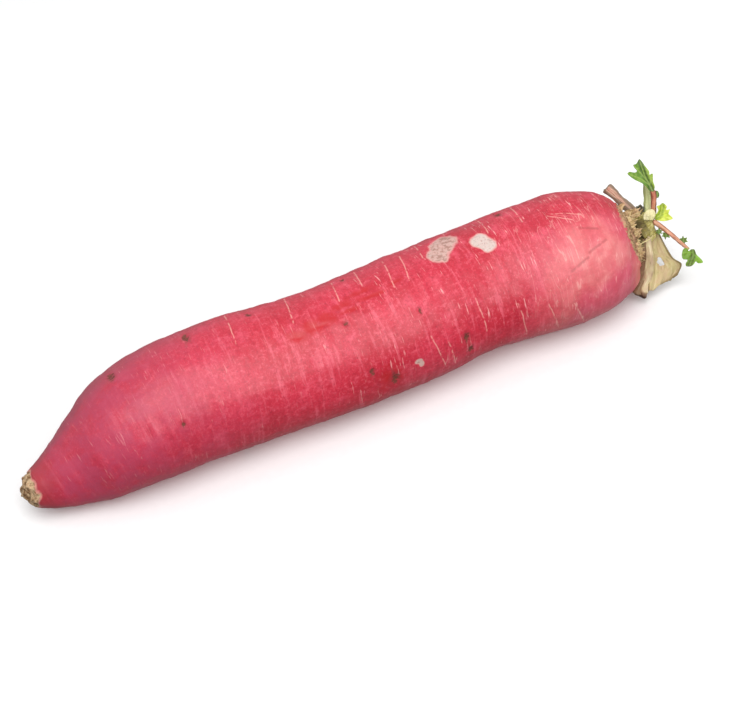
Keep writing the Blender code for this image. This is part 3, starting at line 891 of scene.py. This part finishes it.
def closed(co, cells):
    """Closed thin body from its front points followed by its back ones, and the front's cells.

    Gives the points in use, the faces, and which of the front's points each point goes with.
    """
    size = len(co) // 2
    faces, sides = [], {}
    for cell in cells:
        faces += [tuple(cell), tuple(v + size for v in reversed(cell))]
        for pair in zip(cell, (*cell[1:], cell[0])):
            sides[pair] = True
    faces += [(q, p, p + size, q + size) for p, q in sides if (q, p) not in sides]
    used = sorted({v for f in faces for v in f})
    order = {old: new for new, old in enumerate(used)}
    return co[used], [tuple(order[v] for v in f) for f in faces], np.array(used) % size


LEAF_THICK = 0.35
LEAF_GAP = 0.42  # spacing of the points a leaf is bent at, in mm


def leaf(
    name, node, outline, veins, mat, slot, fold, curl, crumple, seed, way=FAN_RISE, shift=0.0, aside=0.0
):
    """Leaf cut to an outline in mm, in the plane the shoots fan out in. Its first vein is its midrib.

    fold lifts its halves off the midrib, curl bends its tip, crumple wrinkles it between the veins,
    shift moves it towards its foot, where it joins its stalk, and aside moves it sideways.
    """
    edge = rounded(outline)
    count = len(edge)
    ring = [(i, (i + 1) % count) for i in range(count)]
    low, high = edge.min(0), edge.max(0)
    spots = [Vector(p) for p in edge]
    for i, y in enumerate(np.arange(low[1], high[1], LEAF_GAP * 0.87)):
        for x in np.arange(low[0] + (i % 2) * LEAF_GAP / 2, high[0], LEAF_GAP):
            if np.abs(edge - (x, y)).max(1).min() > LEAF_GAP * 0.45:
                spots.append(Vector((x, y)))
    flat, _, tris, _, _, _ = delaunay_2d_cdt(spots, ring, [], 1, 1e-4)
    flat = np.array([tuple(p) for p in flat])
    near = []
    for vein in veins:
        best = np.full(len(flat), 1e9)
        for a, b in zip(vein, vein[1:]):
            a, b = np.array(a), np.array(b)
            t = np.clip((flat - a) @ (b - a) / ((b - a) @ (b - a)), 0, 1)
            best = np.minimum(best, np.linalg.norm(flat - a - t[:, None] * (b - a), axis=1))
        near.append(best)
    middle = near[0]
    nearest = np.min(near, axis=0)
    vein = bell(nearest, 0.28)
    rib = np.array(veins[0])[np.argsort([p[1] for p in veins[0]])]
    # One side of the midrib, which the leaf's look paints lighter as painted light
    half = np.clip((flat[:, 0] - np.interp(flat[:, 1], rib[:, 1], rib[:, 0])) / 0.8, 0, 1)
    solid = np.concatenate((flat, np.zeros((len(flat), 1))), axis=1)
    tall = high[1] - low[1]
    height = fold * middle + curl * ((flat[:, 1] - low[1]) / tall) ** 2
    height = height + crumple * ripples(solid, 3.4, seed) * np.clip(nearest / 1.2, 0.25, 1) + 0.16 * vein
    height = height + 0.35 * crumple * ripples(solid, 1.3, seed + 1)
    along = unit(way)
    across = unit(FAN_SIDE - along * (FAN_SIDE @ along))
    face = np.cross(across, along)
    face *= np.sign(face @ FAN_FACE)
    co = np.concatenate([
        flat[:, :1] * across + flat[:, 1:] * along + (height + lift)[:, None] * face
        for lift in (0.5 * LEAF_THICK, -0.5 * LEAF_THICK)]) * MM
    co = settle(co, node) + (FAN_SIDE * aside - along * shift) * MM
    co, faces, source = closed(co, tris)
    # fold and half say where the look paints shade along the midrib and light on one half
    extra = {"spot": solid, "vein": vein, "fold": bell(middle, 1.7), "half": half}
    extra = {key: value[source] for key, value in extra.items()}
    return place(name, co, faces, mat, slot, (node,), extra)


green = leaf_look("leaf_green", (84, 126, 22), (168, 194, 84), (48, 80, 6))
outline = (
    (0.9, 0.0), (1.5, 2.4), (0.6, 5.6), (0.3, 9.0), (-1.2, 8.6), (-1.5, 10.3), (-3.5, 13.0),
    (-6.2, 16.5), (-7.4, 15.0), (-8.3, 14.0), (-9.6, 13.5), (-9.1, 12.1), (-7.8, 10.5),
    (-8.9, 9.6), (-11.6, 9.9), (-12.8, 8.9), (-11.5, 7.6), (-8.9, 5.9), (-4.4, 3.8), (-1.2, 0.6),
)
veins = (
    ((0.4, 0.2), (-1.4, 4.0), (-3.6, 8.0), (-6.2, 15.6)), ((-2.2, 5.4), (-6.0, 9.6), (-9.2, 13.0)),
    ((-1.2, 3.4), (-5.6, 6.4), (-12.2, 8.8)), ((-1.0, 3.4), (-0.2, 8.4)),
)
leaf("sprout_leaf_lobed", "sprout_leaf", outline, veins, green, "leaf", 0.34, 1.2, 0.28, 61, aside=-0.8)
outline = ((0.8, 0.0), (1.2, 1.6), (0.5, 3.2), (-0.6, 3.4), (-0.8, 1.6), (-0.6, 0.0))
veins = (((0.0, 0.0), (0.2, 3.0)),)
leaf("sprout_bract_small", "sprout_bract", outline, veins, green, "leaf", 0.3, 0.4, 0.12, 62, aside=-0.9)

olive = leaf_look("leaf_tip_green", (104, 140, 34), (132, 176, 50), (72, 86, 20))
outline = (
    (0.9, 0.3), (1.8, -2.1), (4.4, -5.0), (4.9, -6.5), (2.9, -6.8), (1.5, -5.9), (0.6, -7.1),
    (-0.9, -8.3), (-3.2, -8.3), (-3.5, -6.8), (-2.7, -5.0), (-5.0, -4.7), (-5.7, -2.7),
    (-5.0, 0.3), (-3.2, 0.9), (-2.1, -0.6), (-0.9, 0.3),
)
veins = (
    ((0.2, 0.2), (0.3, -3.0), (-1.6, -7.8)), ((0.3, -2.0), (4.4, -6.2)), ((0.2, -1.2), (-5.2, -1.6)),
)
leaf("side_leaf_lobed", "side_leaf", outline, veins, olive, "leaf", 0.30, -0.6, 0.30, 63)
lobe = (
    (0.4, -0.8), (0.9, 0.6), (2.2, 1.0), (1.5, 2.0), (1.9, 3.2), (0.3, 3.0), (-0.3, 4.2), (-1.0, 2.9),
    (-2.2, 2.6), (-1.5, 1.6), (-1.8, 0.7), (-0.4, 0.4), (-0.4, -0.8),
)
for number, size, turned, shift in ((1, 0.95, 1, 1.2), (2, 1.0, -1, 1.6), (3, 0.8, -1, 1.6)):
    outline = [(size * p[0], size * p[1]) for p in lobe]
    veins = (((0.0, 0.0), (0.0, 3.4 * size)),)
    leaf(
        "side_leaflet_%d_small" % number, "side_leaflet_%d" % number, outline, veins, olive, "leaf",
        0.35, 0.5, 0.16, 63 + number, way=FAN_RISE * turned, shift=shift)

lime = leaf_look("young_leaf_lime", (184, 200, 52), (212, 222, 96), (120, 146, 26))
outline = (
    (0.6, 0.0), (2.4, -0.7), (5.3, -1.0), (8.9, -0.1), (9.1, 0.8), (7.4, 2.8), (7.9, 5.0),
    (6.2, 4.9), (6.4, 6.8), (4.4, 8.4), (2.9, 7.3), (1.4, 6.7), (2.1, 4.6), (1.2, 2.8), (0.2, 1.6),
)
veins = (((0.6, 0.6), (3.4, 2.4), (4.4, 7.8)), ((2.6, 1.8), (8.6, 0.4)), ((3.2, 2.2), (7.4, 4.4)))
leaf("young_leaf_crumpled", "young_leaf", outline, veins, lime, "young_leaf", 0.42, 0.8, 0.42, 71)

# ---------------------------------------------------------------- Split back stub
# Half of a wide withered leaf base: a stiff olive rib along its outer side and a papery tan web
# that shrank and tore, leaving a gap. It hangs from the crown just behind the front stub.


def sheet_body(grid, thick, keep=None):
    """Closed thin body over a grid of points in mm; keep says which cells are there.

    Gives its points, its faces and the grid point each of its points comes from.
    """
    along, across = np.gradient(grid, axis=(0, 1))
    face = np.cross(along, across)
    face /= np.linalg.norm(face, axis=2, keepdims=True) + 1e-9
    rows, cols = grid.shape[:2]
    offset = face * np.broadcast_to(0.5 * thick, (rows, cols))[:, :, None]
    co = np.concatenate(((grid + offset).reshape(-1, 3), (grid - offset).reshape(-1, 3)))
    cells = []
    for i in range(rows - 1):
        for j in range(cols - 1):
            if keep is None or keep[i, j]:
                a, b = i * cols + j, (i + 1) * cols + j
                cells.append((a, b, b + 1, a + 1))
    return closed(co, cells)


def papery_look(name, main, light, dark, blush):
    """Dead leaf base gone to paper: lengthwise fibres over a mottled ground, darker at edges and folds."""
    mat, tree, shader = new_look(name)
    fibres = noise(grain(tree, "spot", (1, 0.14, 1)), 0.8, detail=4.0, rough=0.65)
    mottle = noise(grain(tree, "spot", (1, 0.6, 1)), 3.4, detail=4.0, rough=0.6)
    crumb = noise(grain(tree, "spot", (1, 1, 1)), 0.5, detail=3.0, rough=0.7)
    colour = layers(tint(step(mottle, 0.36, 0.64), main, blush), (
        (fibres, 0.52, 0.70, 0.70, light),
        (fibres, 0.46, 0.30, 0.60, dark),
        (plus(field(tree, "shade"), spread(mottle, 0.8)), 0.35, 0.95, 0.85, dark),
    ))
    dress(shader, colour, between(fibres, 0.55, 0.85), plus(fibres, times(crumb, 0.4)), 0.8, 0.0004)
    return mat


web = papery_look("split_stub_skin", (192, 176, 124), (216, 204, 162), (128, 108, 60), (198, 170, 132))

# Its two edges from the crown down, in mm along, across and up; only their shape matters
LEFT = ((9.0, -5.6, 5.2), (4.8, -9.2, -1.6), (4.6, -11.6, -6.3), (0.8, -15.0, -12.7), (-2.9, -19.6, -19.3))
RIGHT = (
    (12.4, -5.4, 5.0), (14.2, -9.4, -2.9), (16.0, -13.4, -8.8), (18.9, -16.8, -12.3), (15.2, -18.6, -17.0))
t = np.linspace(0, 1, 96)[:, None]
u = np.linspace(0, 1, 56)[None]
inner, outer = (smooth_way(rows, t.ravel())[:, None] for rows in (LEFT, RIGHT))
grid = inner * (1 - u)[:, :, None] + outer * u[:, :, None]
spot = stacked(u * 11, t * 28, 0.0)
bow = 1.4 * np.sin(math.pi * u) + 0.35 * ripples(spot * np.array((1, 0.3, 1)), 3.5, 81)
bow = bow + 0.5 * np.cos(u * 19 + 3 * t) * t + 1.8 * ramp(t, 0.72, 1.0) * u ** 3
grid = grid + np.array((0.1, 0.75, -0.6)) * bow[:, :, None]
rib = bell(u - 0.90 + 0.05 * t, 0.10)
fringe = 0.5 * ripples(spot, 3.2, 82) * (t > 0.9)
grid[:, :, 2] -= ramp(t, 0.9, 1.0) * fringe
thick = 0.45 + 1.5 * rib * (1 - 0.4 * t)
gap = ((u - 0.42) / 0.13) ** 2 + ((t - 0.55 - 0.1 * (u - 0.5)) / 0.09) ** 2
gap = gap + 0.25 * ripples(spot, 2.5, 83)
co, faces, source = sheet_body(grid, thick, gap[:-1, :-1] > 1.0)
fitted = settle(co * MM, "back_stub") + (-3.7 * FAN_SIDE - 0.6 * FAN_RISE - 0.8 * FAN_FACE) * MM
shade = np.clip(bell(np.minimum(u, 1 - u), 0.05) + 0.9 * ramp(t, 0.86, 0.98) * (u > 0.4), 0, 1)
shade = shade + 0.35 * rib + 0.5 * np.exp(-np.clip(gap - 1, 0, 9) / 0.3)
place(
    "back_stub_split", fitted, faces, web, "dry_stalk", ("back_stub",),
    {"spot": spot.reshape(-1, 3)[source], "shade": shade.ravel()[source]})

# ---------------------------------------------------------------- Bud scale
# A cream scale cupped round the next bud, thick and fleshy with fine lengthwise veins. It sits on
# the front of the crown beside the young leaf.

cream = papery_look("bud_scale_skin", (214, 206, 152), (238, 232, 196), (158, 150, 84), (224, 214, 170))
t = np.linspace(0, 1, 40)[:, None]
u = np.linspace(-1, 1, 34)[None]
wide = 3.1 * np.sqrt(np.clip(1 - (t * 1.02 - 0.40) ** 2 / 0.42, 0.02, 1))
spot = stacked(u * wide, 5.4 * t, 0.0)
puff = 1.3 * (1 - u ** 2) * np.sin(math.pi * np.clip(t * 0.85 + 0.12, 0, 1))
puff = puff + 0.14 * np.cos(u * 17) * (1 - t) + 0.16 * ripples(spot, 2.4, 85)
grid = stacked(spot[:, :, 0] + 0.25 * spot[:, :, 1], spot[:, :, 1], puff)
co, faces, source = sheet_body(grid @ np.stack((FAN_SIDE, FAN_RISE, FAN_FACE)), 0.6)
shade = np.clip(np.abs(u) ** 6 + 0.5 * (1 - t) ** 3, 0, 1)
place(
    "bud_scale_cupped", settle(co * MM, "bud_scale"), faces, cream, "bud_scale", ("bud_scale",),
    {"spot": spot.reshape(-1, 3)[source], "shade": shade.ravel()[source]})

# ---------------------------------------------------------------- Dry scales
# Stumps of older leaf bases, dried to torn papery flakes that stand round the foot of the crown
# and lap over the end of the root. Each group is a few overlapping flakes.


def gathered(bodies):
    """Points and faces of one body made of several, given with their points in mm."""
    co, faces, start = [], [], 0
    for points, cells in bodies:
        faces += [tuple(v + start for v in cell) for cell in cells]
        co.append(points * MM)
        start += len(points)
    return np.concatenate(co), faces


husk = papery_look("dry_scale_skin", (200, 176, 124), (230, 216, 174), (132, 96, 54), (208, 168, 130))
END_WAY = unit(np.array((0.99, -0.14, 0.02)))
end_side = unit(np.array((0.0, 1.0, 0.0)) - END_WAY * END_WAY[1])
end_up = np.cross(END_WAY, end_side)
skin_end = cad_tree("taproot")


def on_end(angle, away):
    """Foot on the root's end, in mm, at a distance from the hub, and the ways out and sideways there."""
    radial = end_side * math.cos(angle) + end_up * math.sin(angle)
    foot = hub + radial * away
    hit = skin_end.ray_cast(Vector((foot + END_WAY * 12) * MM), Vector(-END_WAY))[0]
    return np.array(hit) / MM if hit else foot, radial, np.cross(END_WAY, radial)


rng = np.random.default_rng(90)
RING = (32, 93, 128, 163, 285, 320, 356)  # degrees round the hub where the groups stand
FILLERS = [(3.2, 13.4), (5.0, 10.8), (2.6, 11.2), (0.6, 13.2)]  # feet of four behind the upper stub, mm
FILLER_WIDE, FILLER_TALL = 3.4, 5.6
FAN_UP = FAN_SIDE * 0.75 + FAN_RISE * 0.66
FAN_ACROSS = FAN_SIDE * 0.66 - FAN_RISE * 0.75
t = np.linspace(0, 1, 22)[:, None]
u = np.linspace(-1, 1, 18)[None]
for number, middle in enumerate(RING, 1):
    bodies, spots, shades = [], [], []
    for flake in range(5):
        angle = math.radians(middle + rng.uniform(-18, 18))
        away = rng.uniform(12.6, 18.6) + (2.5 if 80 < middle < 170 else 0.0)
        foot, radial, sideways = on_end(angle, away)
        wide, tall = rng.uniform(2.2, 4.2), rng.uniform(3.4, 6.2) + (2.0 if 60 < middle < 140 else 0.0)
        tall *= 0.55 if radial @ FAN_FACE > 0.45 else 1.0
        lean, curl = rng.uniform(-0.1, 0.5), rng.uniform(-0.5, 1.6)
        axes = (sideways, END_WAY, radial)
        if middle in RING[:2] and flake > 2:
            wide, tall = FILLER_WIDE, FILLER_TALL
            foot = hub + np.array((*FILLERS.pop(), 3.0)) @ np.stack((FAN_SIDE, FAN_RISE, FAN_FACE))
            axes = (FAN_ACROSS, FAN_UP, FAN_FACE)
        seed = 10 * number + flake
        local = stacked(u * wide * (1 - 0.35 * t ** 2), t * tall, 0.0)
        fray = 1 + 0.22 * ripples(stacked(u * wide, 0.0, 0.0), 1.1, 900 + seed)
        high = (t * fray) * tall * (1 - 0.3 * u ** 2) - 0.8
        off = lean * high + curl * t ** 2 - 0.5 * u ** 2 + 0.22 * ripples(local, 2.0, 700 + seed)
        grid = foot + stacked(local[:, :, 0], high, off) @ np.stack(axes)
        body, cells, source = sheet_body(grid, 0.42 - 0.2 * t)
        bodies.append((body, cells))
        spots.append(local.reshape(-1, 3)[source] + flake * 7.0)
        shades.append(np.clip(0.75 * (1 - t) ** 1.5 + 0.5 * (t > 0.93) + 0 * u, 0, 1).ravel()[source])
    place(
        "dry_scale_flakes_%d" % number, *gathered(bodies), husk, "dry_scale", ("dry_scale_%d" % number,),
        {"spot": np.concatenate(spots), "shade": np.concatenate(shades)})

# ---------------------------------------------------------------- Loose fibres
# Dry strands frayed off the old leaf bases: one long pale one lies across the front of the crown,
# and short hairs stick out round its foot.


def strand(way, width, sides=6, steps=26):
    """Thin tapering hair along a smooth curve through points in mm."""
    t = np.linspace(0, 1, steps)
    path = smooth_way(way, t)
    tangent = unit(np.gradient(path, axis=0))
    side = unit(np.cross(tangent, (0.3, 0.5, 0.8)))
    up = np.cross(tangent, side)
    turn = np.linspace(0, 2 * math.pi, sides, endpoint=False)
    radius = 0.5 * width * (1 - 0.75 * t ** 2)
    ring = side[:, None] * np.cos(turn)[None, :, None] + up[:, None] * np.sin(turn)[None, :, None]
    points = path[:, None] + ring * radius[:, None, None]
    flow = stacked(t[:, None] * 12, np.cos(turn), np.sin(turn))
    return with_ends(points), ring_faces(steps, sides), with_ends(flow)


def bundle(name, strands, mat, slot):
    """One piece of several strands, each given as the points of its way and its width."""
    bodies, flows = [], []
    for way, width in strands:
        body, cells, flow = strand(way, width)
        bodies.append((body, cells))
        flows.append(flow)
    flow = np.concatenate(flows)
    return place(name, *gathered(bodies), mat, slot, (), {
        "flow": flow, "along": flow[:, 0] / 12, "shade": 0 * flow[:, 0]})


straw = stalk_look(
    "dry_fibre", (212, 200, 140), (232, 224, 176), (150, 126, 72), (170, 140, 90), (206, 186, 132))
knob = middle_of("crown")
cross = [knob + FAN_SIDE * a + FAN_RISE * b + FAN_FACE * c for a, b, c in (
    (5.4, 0.4, 11.0), (2.4, -1.8, 17.0), (-1.8, -4.0, 19.6), (-5.6, -6.4, 20.2))]
strands = [(cross, 0.8)]
for _ in range(40):
    angle = rng.uniform(0, 2 * math.pi)
    base, radial, sideways = on_end(angle, rng.uniform(13.0, 16.4))
    bend, reach_out, tall = rng.uniform(-3, 3), rng.uniform(-1.5, 3.0), rng.uniform(1.5, 4.5)
    way = [base - END_WAY * 0.4, base + END_WAY * tall * 0.5 + sideways * bend * 0.3,
           base + END_WAY * tall + sideways * bend + radial * reach_out]
    strands.append((way, rng.uniform(0.22, 0.40)))
bundle("crown_fibres", strands, straw, "dry_scale")
